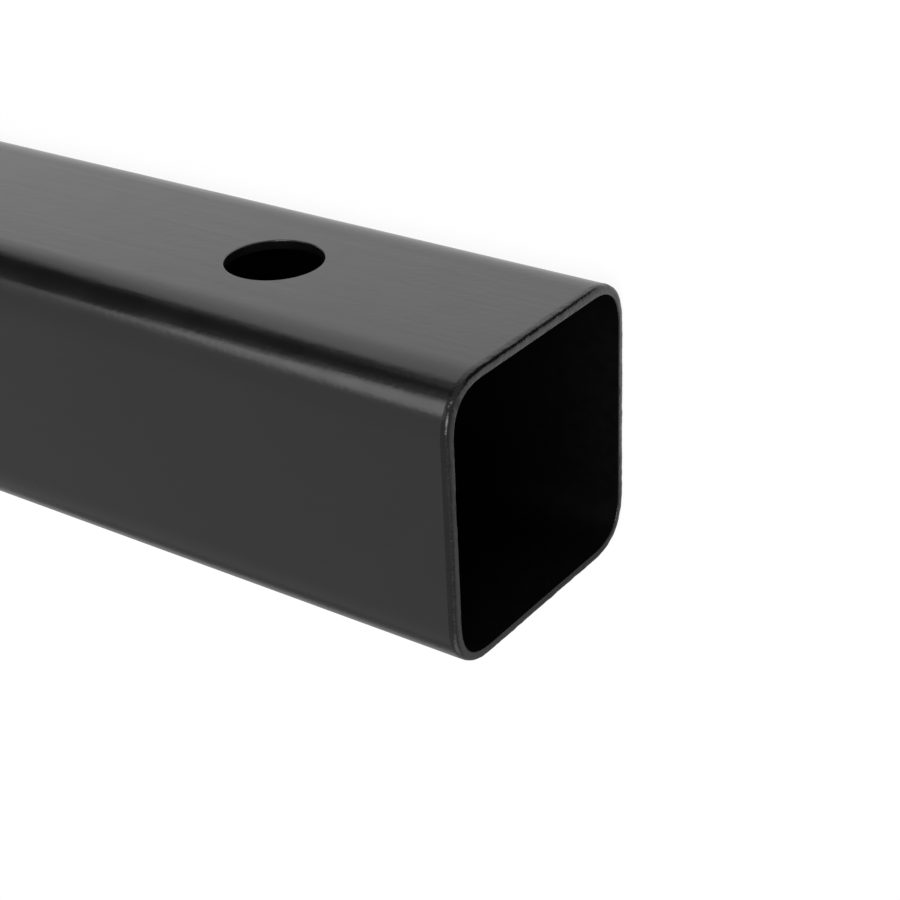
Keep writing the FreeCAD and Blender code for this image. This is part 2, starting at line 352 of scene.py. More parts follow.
def round_rim(tube):
    """Rounds both edges, and returns the points of the outer round."""
    round_edges(tube, rim_loop(outer=False), RIM_INNER_ROUND, 4)
    round_edges(tube, rim_loop(outer=True), RIM_ROUND, 10, RIM_FULLNESS)
    side = OPEN_END + 0.95 * RIM_ROUND
    return [v.index for v in tube.data.vertices if v.select and v.co.x < side]


def wear_rim(tube, rounded):
    """Makes the rounded edge uneven, and dents it at one corner."""
    tube.vertex_groups.new(name="rim").add(rounded, 1, "REPLACE")
    waves = bpy.data.textures.new("waves", "CLOUDS")
    waves.noise_scale = RIM_UNEVEN_STEP
    modify(
        tube, "DISPLACE", texture=waves, vertex_group="rim", strength=RIM_UNEVEN, texture_coords="LOCAL"
    )
    tube.vertex_groups.clear()
    outward = Vector((0, -math.cos(NICK_TURN), math.sin(NICK_TURN)))
    corner = Vector((OPEN_END + RIM_ROUND / 3, -CORNER_CENTRE, CORNER_CENTRE))
    place = corner + outward * SHANK_CORNER
    open_mesh(tube)
    pick(tube, "VERT", lambda v: (v.co - place).length < NICK_SIZE / 2)
    bpy.ops.transform.translate(
        value=(outward + Vector((-0.5, 0, 0))) * -NICK_DEPTH, use_proportional_edit=True,
        proportional_edit_falloff="SMOOTH", proportional_size=NICK_SIZE,
    )
    close_mesh()


wear_rim(shank, round_rim(shank))
report("rim rounded:", shank)

# %% [markdown]
# ## Finishes
#
# The mount is powder coated a satin black. Such a coat is nearly black in itself, and what the eye
# sees of it is the soft reflection of its surroundings.

# %% Material helpers
def feed(socket, value):
    """Links a node's output into a socket, or sets a plain value there."""
    if isinstance(value, bpy.types.NodeSocket):
        socket.id_data.links.new(value, socket)
    else:
        socket.default_value = value


def new_material(name):
    material = bpy.data.materials.new(name)
    material.use_nodes = True
    material.node_tree.nodes.clear()
    output = material.node_tree.nodes.new("ShaderNodeOutputMaterial")
    shader = material.node_tree.nodes.new("ShaderNodeBsdfPrincipled")
    feed(output.inputs["Surface"], shader.outputs["BSDF"])
    return material, shader


def add_node(owner, kind, inputs=(), **settings):
    """Adds a node to a material or a world."""
    node = owner.node_tree.nodes.new(kind)
    for name, value in settings.items():
        setattr(node, name, value)
    for name, value in dict(inputs).items():
        feed(node.inputs[name], value)
    return node


def grain(material, scale, detail=2, stretch=(1, 1, 1)):
    """Soft noise in the piece's own coordinates. Its patches are about one over scale metres wide."""
    place = add_node(material, "ShaderNodeTexCoord").outputs["Object"]
    shaped = add_node(material, "ShaderNodeMapping", {"Vector": place, "Scale": stretch})
    sockets = {"Vector": shaped.outputs["Vector"], "Scale": scale, "Detail": detail}
    return add_node(material, "ShaderNodeTexNoise", sockets).outputs["Fac"]


def remap(owner, value, old, new, **settings):
    """Carries a value from an old range, a pair of numbers, to a new one."""
    ranges = {"From Min": old[0], "From Max": old[1], "To Min": new[0], "To Max": new[1]}
    return add_node(owner, "ShaderNodeMapRange", {"Value": value, **ranges}, **settings).outputs[0]


def spread(material, factor, over):
    """Stretches the useful part of a noise, a third to two thirds, over a range."""
    return remap(material, factor, (1 / 3, 2 / 3), over)


def tint(material, factor, first, second):
    """Blends two colours by a factor. A Mix node has its colours in inputs 6 and 7 and output 2."""
    colours = {6: (*first, 1), 7: (*second, 1)}
    return add_node(material, "ShaderNodeMix", {0: factor, **colours}, data_type="RGBA").outputs[2]


def relief(material, *layers):
    """Stacks bumps, each a (height, depth in metres) pair."""
    normal = None
    for height, depth in layers:
        bump = add_node(material, "ShaderNodeBump", {"Height": height, "Distance": depth})
        if normal:
            feed(bump.inputs["Normal"], normal)
        normal = bump.outputs["Normal"]
    return normal


def finish_from(shader, **sockets):
    """Feeds the shader's inputs, with an underscore for each space in a name."""
    for name, value in sockets.items():
        feed(shader.inputs[name.replace("_", " ")], value)


# %% [markdown]
# Powder is melted on, so it flows: over a millimetre or two it has the faint waves that painters call
# orange peel, and under it the mill's drawing lines still show faintly along the tube. A noise makes
# the waves. The same noise, drawn out along the tube, makes the lines, and slower ones let the gloss and
# the tone wander, as they do on a sprayed part. The sawn rim gets a rougher, less bright coat.

# %% Powder coat
ALONG_SHANK = (0.04, 1, 1)
ALONG_POLE = (1, 1, 0.04)
BLACK = (0.007, 0.007, 0.0075)
TONE_RISE = 1.35


def make_powder(name, colour, gloss, peel, lines, way=ALONG_SHANK, ior=1.75, peel_scale=900):
    """A black coat. Gloss is a range of roughness, and peel and lines are depths."""
    material, shader = new_material(name)
    along = grain(material, 350, 4, way)
    finish_from(
        shader,
        Base_Color=tint(material, grain(material, 60, 4), colour, [c * TONE_RISE for c in colour]),
        Roughness=spread(material, grain(material, 140, 4), gloss),
        IOR=ior,
        Normal=relief(material, (grain(material, peel_scale), peel), (along, lines)),
    )
    return material


powder_coat = make_powder("powder_coat", BLACK, (0.2, 0.25), 25e-6, 60e-6)
sleeve_coat = make_powder("sleeve_coat", BLACK, (0.2, 0.25), 25e-6, 50e-6, ALONG_POLE)
plate_coat = make_powder("plate_coat", BLACK, (0.2, 0.26), 30e-6, 0)
weld_coat = make_powder("coated_weld", BLACK, (0.27, 0.34), 30e-6, 0)
edge_coat = make_powder("edge_coat", (0.004,) * 3, (0.19, 0.28), 70e-6, 0, ior=1.55, peel_scale=2600)

# %% [markdown]
# Inside the tube the coat has a darker colour and a weaker, duller reflection than outside: painted
# shade, so that the tube looks almost black. The pads are turned from dark nylon and the knobs are
# moulded, both with a fine matt texture. The bolts are zinc plated: bright metal with a slightly cloudy,
# bluish skin.

# %% Inside, zinc, knobs and pads
def make_dull(name, dark, light, gloss, texture_scale, texture_depth, ior=1.5):
    """A matt plastic or a dark dull coat with a fine even texture."""
    material, shader = new_material(name)
    finish_from(
        shader,
        Base_Color=tint(material, grain(material, 220, 3), dark, light),
        Roughness=spread(material, grain(material, 500, 3), gloss),
        IOR=ior,
        Normal=relief(material, (grain(material, texture_scale, 3), texture_depth)),
    )
    return material


def make_zinc():
    material, shader = new_material("zinc_plate")
    cloud = spread(material, grain(material, 350, 4), (0, 1))
    finish_from(
        shader,
        Base_Color=tint(material, cloud, (0.56, 0.59, 0.64), (0.68, 0.69, 0.68)),
        Metallic=1.0,
        Roughness=spread(material, grain(material, 900, 4), (0.2, 0.38)),
        Normal=relief(material, (grain(material, 1200, 3), 2e-6)),
    )
    return material


# The inside of the tube: painted shade, a darker colour and a weaker reflection than the outer coat.
inner_painted_shade = make_dull("inner_painted_shade", (0.001,) * 3, (0.002,) * 3, (0.5, 0.65), 1500, 8e-6, ior=1.2)
knob_plastic = make_dull("knob_plastic", (0.010, 0.010, 0.011), (0.015,) * 3, (0.42, 0.52), 2600, 12e-6)
nylon = make_dull("pad_nylon", (0.045, 0.045, 0.046), (0.065,) * 3, (0.4, 0.5), 1800, 8e-6)
zinc = make_zinc()
print("finishes:", [material.name for material in bpy.data.materials if material.use_nodes])


# %% Dressing a piece
def dress(piece, node, body, slot, *materials):
    """Gives a finished piece its materials and its body to ride on, and hides the node that it stands
    for.
    """
    for material in materials:
        piece.data.materials.append(material)
    smooth(piece)
    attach(piece, body)
    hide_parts(node)
    report(piece.name, piece)


def paint(piece, number, test):
    """Gives the faces that pass a test the piece's material of that number."""
    for face in piece.data.polygons:
        if test(face.center):
            face.material_index = number


def on_rim(centre):
    return centre.x < OPEN_END + RIM_ROUND


def inside_tube(centre):
    in_wall = SHANK_WALL / 2
    from_middle = max(abs(centre.y), abs(centre.z))
    return from_middle < SHANK_WIDTH / 2 - in_wall and out_from_core(centre) < SHANK_CORNER - in_wall


# The faces inside the tube take the painted-shade coat.
paint(shank, 2, inside_tube)
paint(shank, 1, on_rim)
dress(shank, "shank_tube", "welded_mount", "powder_coat", powder_coat, edge_coat, inner_painted_shade)

# %% [markdown]
# ## The pole sleeve and its foot
#
# The sleeve is a round tube and the foot a disc with a drain hole, so both are turned: an outline is
# drawn point by point as a strip of edges and spun about the pole's axis. A cylinder with its ends
# deleted would do for one tube, but the same little lathe also makes the bolts, hubs, pads and crowns.

# %% Turning
UP = (0, 0, 1)
ALONG = (1, 0, 0)


def draw_strip(name, corners):
    """Edges from corner to corner, drawn from a plane that is merged to one point. Edit mode stays on."""
    bpy.ops.mesh.primitive_plane_add(size=MM, location=corners[0])
    piece = fresh(name)
    open_mesh(piece)
    bpy.ops.mesh.select_mode(type="VERT")
    pick_all()
    bpy.ops.mesh.merge(type="CENTER")
    for here, there in zip(corners, corners[1:]):
        bpy.ops.mesh.extrude_region_move(TRANSFORM_OT_translate={"value": there - here})
    pick_all()
    return piece


def lathe(name, outline, centre, axis, steps=96):
    """Turns a closed outline of (along, radius) points about an axis through a point."""
    centre, axis = Vector(centre), Vector(axis)
    out = Vector(UP) if axis.x else Vector(ALONG)
    corners = [centre + axis * along + out * radius for along, radius in outline]
    if outline[0][1] > 0:
        corners.append(corners[0])
    piece = draw_strip(name, corners)
    bpy.ops.mesh.spin(steps=steps, angle=2 * math.pi, center=centre, axis=axis)
    pick_all()
    bpy.ops.mesh.remove_doubles(threshold=TOUCH)
    close_outwards()
    return piece


def round_ring(piece, centre, axis, along, radius, width, segments=4):
    """Rounds the circular edge at a place along the axis."""
    centre, axis = Vector(centre), Vector(axis)

    def on_ring(co):
        here = (co - centre).dot(axis)
        out = (co - centre - axis * here).length
        return abs(here - along) <= TOUCH and abs(out - radius) <= 2 * TOUCH

    round_edges(piece, lambda edge: all(on_ring(v.co) for v in edge.verts), width, segments)


# %% [markdown]
# The sleeve's foot has a bevel, which takes the weld to the disc. Its mouth is rounded on both sides, so
# that it doesn't scrape the pole. Two round holes in its rear wall let the pads draw back out of the
# socket. They are cut with bars, and their edges are broken where they meet the wall.

# %% Sleeve
SLEEVE_FOOT = sleeve_low.z
SLEEVE_TOP = sleeve_high.z
BASE_WELD = 1.5 * MM
MOUTH_ROUND = 0.8 * MM
MOUTH_INNER_ROUND = 0.4 * MM
PAD_HOLE_RADIUS = 7.5 * MM
PAD_HOLE_BREAK = 0.25 * MM
SCREW_HEIGHTS = {"lower": 0.012, "upper": 0.118}
POLE_FOOT = (POLE_X, 0, 0)
SLEEVE_STEPS = 192


def on_pad_hole(height):
    """A test for the edges of a hole's two outlines, which aren't those that run through the wall."""

    def at_radius(co):
        return co.x > POLE_X and abs(math.hypot(co.y, co.z - height) - PAD_HOLE_RADIUS) < 10 * TOUCH

    def test(edge):
        a, b = (v.co for v in edge.verts)
        return abs(a.x - b.x) < MM and at_radius(a) and at_radius(b)

    return test


def make_sleeve():
    outline = [
        (SLEEVE_FOOT, BORE_RADIUS),
        (SLEEVE_FOOT, SLEEVE_RADIUS - BASE_WELD),
        (SLEEVE_FOOT + BASE_WELD, SLEEVE_RADIUS),
        (SLEEVE_TOP, SLEEVE_RADIUS),
        (SLEEVE_TOP, BORE_RADIUS),
    ]
    sleeve = lathe("sleeve", outline, POLE_FOOT, UP, SLEEVE_STEPS)
    round_ring(sleeve, POLE_FOOT, UP, SLEEVE_TOP, SLEEVE_RADIUS, MOUTH_ROUND, 5)
    round_ring(sleeve, POLE_FOOT, UP, SLEEVE_TOP, BORE_RADIUS, MOUTH_INNER_ROUND, 3)
    beyond = POLE_X + 2 * SLEEVE_RADIUS
    for height in SCREW_HEIGHTS.values():
        carve(sleeve, bar("cutter", PAD_HOLE_RADIUS, (POLE_X, 0, height), (beyond, 0, height)))
        round_edges(sleeve, on_pad_hole(height), PAD_HOLE_BREAK, 2)
    return sleeve


sleeve = make_sleeve()
dress(sleeve, "pole_sleeve", "welded_mount", "powder_coat", sleeve_coat)

# %% [markdown]
# The weld between disc and sleeve fills the bevelled groove and is dressed flush, as a foot that
# stands on the ground needs. Only a three-cornered ring of it is left, which the lathe turns.

# %% Base disc and its weld
DRAIN_RADIUS = 5 * MM
BASE_ROUND = 0.6 * MM
DRAIN_ROUND = 0.4 * MM


def make_base():
    outline = [
        (GROUND, DRAIN_RADIUS),
        (GROUND, SLEEVE_RADIUS),
        (SLEEVE_FOOT, SLEEVE_RADIUS),
        (SLEEVE_FOOT, DRAIN_RADIUS),
    ]
    disc = lathe("base", outline, POLE_FOOT, UP, SLEEVE_STEPS)
    round_ring(disc, POLE_FOOT, UP, GROUND, SLEEVE_RADIUS, BASE_ROUND)
    round_ring(disc, POLE_FOOT, UP, GROUND, DRAIN_RADIUS, DRAIN_ROUND)
    round_ring(disc, POLE_FOOT, UP, SLEEVE_FOOT, DRAIN_RADIUS, DRAIN_ROUND)
    return disc


def make_base_weld():
    outline = [
        (SLEEVE_FOOT, SLEEVE_RADIUS),
        (SLEEVE_FOOT + BASE_WELD, SLEEVE_RADIUS),
        (SLEEVE_FOOT, SLEEVE_RADIUS - BASE_WELD),
    ]
    return lathe("base_seam", outline, POLE_FOOT, UP, SLEEVE_STEPS)


dress(make_base(), "base_disc", "welded_mount", "powder_coat", plate_coat)
dress(make_base_weld(), "base_weld", "welded_mount", "coated_weld", weld_coat)

# %% [markdown]
# ## The gusset
#
# A plate braces the corner, with a hollow slope, a blunt toe on the shank and a round notch that stays
# clear of the joint's weld. It is cut from a flat bar: a large round cutter takes the hollow away, a
# small one the notch, and the sleeve's own form the back edge. A drawn outline would need all those
# meeting points worked out, while the cutters find them.

# %% Gusset
GUSSET_THICKNESS = 5 * MM
GUSSET_TOE = 9 * MM
GUSSET_LAND = 12 * MM
GUSSET_HOLLOW = 8 * MM
GUSSET_GAP = 9 * MM
GUSSET_EDGE = 0.4 * MM
gusset_low, gusset_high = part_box("gusset_plate")
SLEEVE_FRONT = POLE_X - SLEEVE_RADIUS


def make_gusset():
    half = GUSSET_THICKNESS / 2
    plate = block("gusset", (gusset_low.x, -half, SHANK_TOP), (POLE_X, half, gusset_high.z))
    toe = Vector((gusset_low.x, 0, SHANK_TOP + GUSSET_TOE))
    land = Vector((SLEEVE_FRONT - GUSSET_LAND, 0, gusset_high.z))
    slope = land - toe
    radius = (slope.length**2 / 4 + GUSSET_HOLLOW**2) / (2 * GUSSET_HOLLOW)
    outward = Vector((-slope.z, 0, slope.x)).normalized()
    centre = (toe + land) / 2 + outward * (radius - GUSSET_HOLLOW)
    side = Vector((0, CLEAR, 0))
    carve(plate, bar("cutter", radius, centre - side, centre + side, 2 * FINE))
    corner = Vector((SLEEVE_FRONT, 0, SHANK_TOP))
    carve(plate, bar("cutter", GUSSET_GAP, corner - side, corner + side))
    carve(plate, bar("cutter", SLEEVE_RADIUS, (POLE_X, 0, GROUND), (POLE_X, 0, SLEEVE_TOP), SLEEVE_STEPS))
    break_edges(plate, GUSSET_EDGE, 3)
    return plate


dress(make_gusset(), "gusset_plate", "welded_mount", "powder_coat", plate_coat)

# %% [markdown]
# ## Welds
#
# A hand weld is a row of small puddles that froze one after the other, so it looks like fallen coins.
# That is also how it is made here: flattened balls are laid along the joint, each leaning on the last,
# and a voxel remesh melts them into one skin. What would lie inside the steel is trimmed away with
# slightly smaller forms of the tubes and the plate, so that the bead's edge runs into their faces.

# %% Forms that the weld beads lie on
TRIM = 0.3 * MM


def shank_form():
    """The shank's outside as a solid, a little smaller, to trim the beads with."""
    low, high = GROUND + TRIM, SHANK_TOP - TRIM
    form = block("shank_form", (OPEN_END + CLEAR, low, low), (POLE_X, high, high))
    round_edges(form, along_x, SHANK_CORNER, 12, CORNER_FULLNESS)
    return form


def sleeve_form():
    low, high = (POLE_X, 0, GROUND - CLEAR), (POLE_X, 0, SLEEVE_TOP)
    return bar("sleeve_form", SLEEVE_RADIUS - TRIM, low, high, 160)


def gusset_form():
    half = GUSSET_THICKNESS / 2 - TRIM
    return block("gusset_form", (gusset_low.x, -half, SHANK_TOP - CLEAR), (POLE_X, half, gusset_high.z))


# %% A weld bead
SCALE_STEP = 1.35 * MM
SCALE_THICKNESS = 0.62
SCALE_SWAY = 0.12 * MM
SCALE_SIZES = (0.93, 1.05)
SCALE_LEANS = (0.5, 0.7)
SCALE_GAPS = (0.85, 1.15)
BEAD_VOXEL = 0.32 * MM


def lay_bead(name, path, radius, seed):
    """Drops overlapping scales along a path of (point, outward) pairs and melts them together."""
    dice = random.Random(seed)
    bpy.ops.mesh.primitive_uv_sphere_add(segments=20, ring_count=12, radius=1)
    scale = fresh("scale")
    copies = []
    spare = 0.0
    for (here, outward), (there, _) in zip(path, path[1:]):
        run = there - here
        tangent = run.normalized()
        side = outward.cross(tangent).normalized()
        while spare < run.length:
            size = radius * dice.uniform(*SCALE_SIZES)
            lean = (tangent + outward * dice.uniform(*SCALE_LEANS)).normalized()
            up = side.cross(lean)
            turn = Matrix((lean, side, up)).transposed().to_4x4()
            place = here + tangent * spare + side * dice.uniform(-SCALE_SWAY, SCALE_SWAY)
            shape = Matrix.Diagonal((SCALE_THICKNESS * size, size, size, 1))
            copies.append(twin_of(scale))
            copies[-1].matrix_world = Matrix.Translation(place) @ turn @ shape
            spare += SCALE_STEP * dice.uniform(*SCALE_GAPS)
        spare -= run.length
    bpy.data.objects.remove(scale)
    take(*copies)
    bpy.ops.object.join()
    bead = fresh(name)
    modify(bead, "REMESH", mode="VOXEL", voxel_size=BEAD_VOXEL, adaptivity=0)
    modify(bead, "SMOOTH", factor=0.5, iterations=3)
    return bead


def sleeve_wall_x(y, side):
    return POLE_X + side * math.sqrt(SLEEVE_RADIUS**2 - y**2)


# %% [markdown]
# The joint's weld climbs one side of the shank, crosses its top and goes down the other side. The
# underside stays flat, because the mount can stand on it. The path follows the shank's rounded
# outline on the sleeve's curved wall, so each point is put on the sleeve at its own distance across.

# %% Joint weld
JOINT_BEAD_RADIUS = 2.5 * MM
JOINT_LOW_GAP = 10 * MM
JOINT_SEED = 11
ROUND_CORNER = 9
ACROSS_TOP = 8


def joint_path():
    """Up one side, round its corner, across the top and down the other side."""
    half, flat = SHANK_WIDTH / 2, CORNER_CENTRE
    outline = [(-half, JOINT_LOW_GAP - half), (-half, flat)]
    for step in range(1, ROUND_CORNER):
        turn = math.radians(90 * step / ROUND_CORNER)
        outline.append((-flat - SHANK_CORNER * math.cos(turn), flat + SHANK_CORNER * math.sin(turn)))
    outline.append((-flat, half))
    climb = [(-y, z) for y, z in reversed(outline)]
    outline += [(flat * k / ACROSS_TOP, half) for k in range(1 - ACROSS_TOP, ACROSS_TOP)]
    path = []
    for y, z in outline + climb:
        away = Vector((0, max(abs(y) - flat, 0) * math.copysign(1, y), max(z - flat, 0)))
        from_sleeve = Vector((sleeve_wall_x(y, -1) - POLE_X, y, 0)).normalized()
        outward = (away.normalized() + from_sleeve).normalized()
        path.append((Vector((sleeve_wall_x(y, -1), y, z)), outward))
    return path


joint = lay_bead("joint_bead", joint_path(), JOINT_BEAD_RADIUS, JOINT_SEED)
carve(joint, shank_form())
carve(joint, sleeve_form())
dress(joint, "joint_weld", "welded_mount", "coated_weld", weld_coat)

# %% [markdown]
# The gusset has four short beads: one on each side along the shank, and one on each side up the
# sleeve. Each pair is laid as two straight beads and joined to one piece.

# %% Gusset welds
GUSSET_BEAD_RADIUS = 2.8 * MM
BEAD_END_GAP = 3.5 * MM
FOOT_SEED = 21
BACK_SEED = 31


def twin_beads(name, start, end, outward, seed, form):
    """The two beads along the gusset's sides as one piece, trimmed by the form that they lie on."""
    beads = []
    for side in (-1, 1):
        across = Vector((0, side * GUSSET_THICKNESS / 2, 0))
        lean = (outward + Vector((0, side, 0))).normalized()
        path = [(start + across, lean), (end + across, lean)]
        bead = lay_bead(name, path, GUSSET_BEAD_RADIUS, seed + side)
        carve(bead, gusset_form())
        half = GUSSET_THICKNESS / 2 - TRIM / 2
        open_mesh(bead)
        pick(bead, "FACE", lambda face: face.calc_center_median().y * side < half - TRIM)
        bpy.ops.mesh.delete(type="FACE")
        close_mesh()
        beads.append(bead)
    take(*beads)
    bpy.ops.object.join()
    return carve(fresh(name), form)


def foot_welds():
    start = Vector((gusset_low.x + BEAD_END_GAP, 0, SHANK_TOP))
    end = Vector((SLEEVE_FRONT - GUSSET_GAP - BEAD_END_GAP, 0, SHANK_TOP))
    return twin_beads("foot_beads", start, end, Vector(UP), FOOT_SEED, shank_form())


def back_welds():
    x = sleeve_wall_x(GUSSET_THICKNESS / 2, -1)
    start = Vector((x, 0, SHANK_TOP + GUSSET_GAP + BEAD_END_GAP))
    end = Vector((x, 0, gusset_high.z - BEAD_END_GAP))
    return twin_beads("back_beads", start, end, -Vector(ALONG), BACK_SEED, sleeve_form())


dress(foot_welds(), "gusset_foot_welds", "welded_mount", "coated_weld", weld_coat)
dress(back_welds(), "gusset_back_welds", "welded_mount", "coated_weld", weld_coat)

# %% [markdown]
# ## The clamp screws
#
# Each screw is a hexagon bolt through a nut that is welded to the sleeve. A real nut's corners are
# turned off at 30 degrees, which leaves the curved edges that the eye knows. So a hexagonal bar is
# kept only where it shares space with a turned crown.

# %% Weld nuts
NUT_FLATS = 17 * MM
NUT_THICKNESS = 8.4 * MM
NUT_INNER_X = POLE_X + SLEEVE_RADIUS
NUT_OUTER_X = NUT_INNER_X + NUT_THICKNESS
THREAD_RADIUS = 5 * MM
NUT_BORE_RADIUS = 5.06 * MM
NUT_BORE_BEVEL = 0.5 * MM
HEX_EDGE = 0.15 * MM
CROWN_SLOPE = math.radians(30)
CROWN_OUT = 0.01 * MM
CROWN_IN = 0.35 * MM
NUT_BEAD_RADIUS = 2.7 * MM
NUT_BEAD_OUT = 0.3 * MM
NUT_BEAD_STEPS = 60
NUT_BEAD_LEAN = 0.8
NUT_SEED = 41


def hex_blank(name, flats, start, end, height):
    """A hexagonal bar on a screw's axis, two of its corners up and down."""
    return bar(name, flats / math.sqrt(3), (start, 0, height), (end, 0, height), 6)


def crowned_hexagon(name, flats, start, end, height):
    """A nut or a bolt head, with the corners turned off at its outer end."""
    piece = hex_blank(name, flats, start, end, height)
    break_edges(piece, HEX_EDGE)
    corner = flats / math.sqrt(3) + CROWN_OUT
    face = flats / 2 - CROWN_IN
    drop = (corner - face) * math.tan(CROWN_SLOPE)
    before = start - CLEAR
    outline = [(before, 0), (before, corner), (end - drop, corner), (end, face), (end, 0)]
    return carve(piece, lathe("crown", outline, (0, 0, height), ALONG), "INTERSECT")


def make_nut(height):
    nut = crowned_hexagon("nut", NUT_FLATS, NUT_INNER_X, NUT_OUTER_X, height)
    before, beyond = NUT_INNER_X - CLEAR, NUT_OUTER_X + CLEAR
    outline = [
        (before, 0),
        (before, NUT_BORE_RADIUS),
        (NUT_OUTER_X - NUT_BORE_BEVEL, NUT_BORE_RADIUS),
        (NUT_OUTER_X, NUT_BORE_RADIUS + NUT_BORE_BEVEL),
        (beyond, NUT_BORE_RADIUS + NUT_BORE_BEVEL),
        (beyond, 0),
    ]
    return carve(nut, lathe("bore", outline, (0, 0, height), ALONG))


def make_nut_weld(height):
    """A bead round the nut's hexagon, on the sleeve's curved wall."""
    path = []
    for step in range(NUT_BEAD_STEPS + 1):
        angle = 2 * math.pi * step / NUT_BEAD_STEPS
        from_flat = (angle + math.pi / 6) % (math.pi / 3) - math.pi / 6
        out = (NUT_FLATS / 2 + NUT_BEAD_OUT) / math.cos(from_flat)
        y, z = out * math.cos(angle), out * math.sin(angle)
        away = Vector((NUT_BEAD_LEAN, math.cos(angle), math.sin(angle))).normalized()
        path.append((Vector((sleeve_wall_x(y, 1) + NUT_BEAD_OUT, y, height + z)), away))
    weld = lay_bead("nut_bead", path, NUT_BEAD_RADIUS, NUT_SEED)
    carve(weld, sleeve_form())
    carve(weld, hex_blank("nut_form", NUT_FLATS - TRIM, NUT_INNER_X - CLEAR, NUT_OUTER_X, height))
    return weld


# %% [markdown]
# The thread is the one form here that a flat texture can't fake, because its outline shows against the
# light. One tooth's outline is turned and advanced by the Screw modifier, a pitch for each turn, as a
# thread is cut, and the rod is then trimmed by a turned blank with a bevelled tip.

# %% Thread
PITCH = 1.5 * MM
ROOT_RADIUS = 4.08 * MM
TURN_STEPS = 48
TOOTH = (
    (0, ROOT_RADIUS),
    (0.2, ROOT_RADIUS),
    (0.55, THREAD_RADIUS),
    (0.65, THREAD_RADIUS),
    (1, ROOT_RADIUS),
)


def make_thread(start, end, height):
    """A right-handed threaded rod, from a thread's profile that is turned and advanced."""
    rod = draw_strip("thread", [Vector((start + along * PITCH, 0, radius)) for along, radius in TOOTH])
    close_mesh()
    modify(
        rod, "SCREW", axis="X", angle=2 * math.pi, screw_offset=PITCH,
        iterations=int((end - start) / PITCH), steps=TURN_STEPS, render_steps=TURN_STEPS,
        use_merge_vertices=True, merge_threshold=10 * TOUCH,
    )
    for v in rod.data.vertices:
        v.co.z += height
    open_mesh(rod)
    pick_all()
    bpy.ops.mesh.remove_doubles(threshold=10 * TOUCH)
    pick_all()
    bpy.ops.mesh.fill_holes(sides=0)
    close_outwards()
    return rod


# %% [markdown]
# The bolt is that rod joined to a crowned hexagon head. Its tip is bored for the pad's stem.

# %% Clamp bolt
SCREW_TIP_X = 0.27735
TIP_RADIUS = 3.9 * MM
TIP_BEVEL = 1.2 * MM
HEAD_SEAT_X = 0.32775
HEAD_THICKNESS = 6.4 * MM
HEAD_FLATS = 16 * MM
BLANK_RADIUS = THREAD_RADIUS + 0.1 * MM
TIP_BORE_RADIUS = 2.55 * MM
TIP_BORE_DEPTH = 6.8 * MM


def make_bolt(height):
    rod = make_thread(SCREW_TIP_X - 2 * PITCH, HEAD_SEAT_X + 4 * PITCH, height)
    outline = [
        (SCREW_TIP_X, 0),
        (SCREW_TIP_X, TIP_RADIUS),
        (SCREW_TIP_X + TIP_BEVEL, BLANK_RADIUS),
        (HEAD_SEAT_X + MM, BLANK_RADIUS),
        (HEAD_SEAT_X + MM, 0),
    ]
    carve(rod, lathe("blank", outline, (0, 0, height), ALONG), "INTERSECT")
    mouth, bottom = (SCREW_TIP_X - MM, 0, height), (SCREW_TIP_X + TIP_BORE_DEPTH, 0, height)
    carve(rod, bar("tip_bore", TIP_BORE_RADIUS, mouth, bottom, 64))
    head = crowned_hexagon("bolt", HEAD_FLATS, HEAD_SEAT_X, HEAD_SEAT_X + HEAD_THICKNESS, height)
    return carve(head, rod, "UNION")


# %% [markdown]
# The star knob is moulded plastic with five round lobes. Its outline is a chain of arcs: the outer
# circle, a small arc into each scallop and the scallop itself. The outline is filled, extruded and
# bevelled on both sides, which gives the soft moulded edge. The hub is turned, and the bolt's head
# sits in a hexagonal pocket.

# %% Knob
KNOB_RADIUS = 23 * MM
KNOB_THICKNESS = 15 * MM
KNOB_LOBES = 5
SCALLOP_RADIUS = 10.5 * MM
SCALLOP_DEPTH = 6 * MM
LOBE_ROUND = 3.4 * MM
KNOB_FRONT_X = 0.31135
KNOB_BODY_X = 0.32035
KNOB_BACK_X = 0.33535
KNOB_EDGES = ((KNOB_BODY_X, 0.8 * MM), (KNOB_BACK_X, 1.6 * MM))
HUB_OUTLINE = (
    (KNOB_FRONT_X, 0),
    (KNOB_FRONT_X, 10.4 * MM),
    (KNOB_FRONT_X + 0.6 * MM, 11 * MM),
    (KNOB_BODY_X - 1.2 * MM, 11 * MM),
    (KNOB_BODY_X - 0.4 * MM, 11.3 * MM),
    (KNOB_BODY_X, 12.2 * MM),
    (KNOB_BODY_X + MM, 12.2 * MM),
    (KNOB_BODY_X + MM, 0),
)
POCKET_FLATS = HEAD_FLATS + 0.2 * MM


def polar(radius, angle):
    return Vector((math.cos(angle), math.sin(angle))) * radius


def arc(centre, radius, start, end, steps):
    return [centre + polar(radius, start + (end - start) * k / steps) for k in range(steps)]


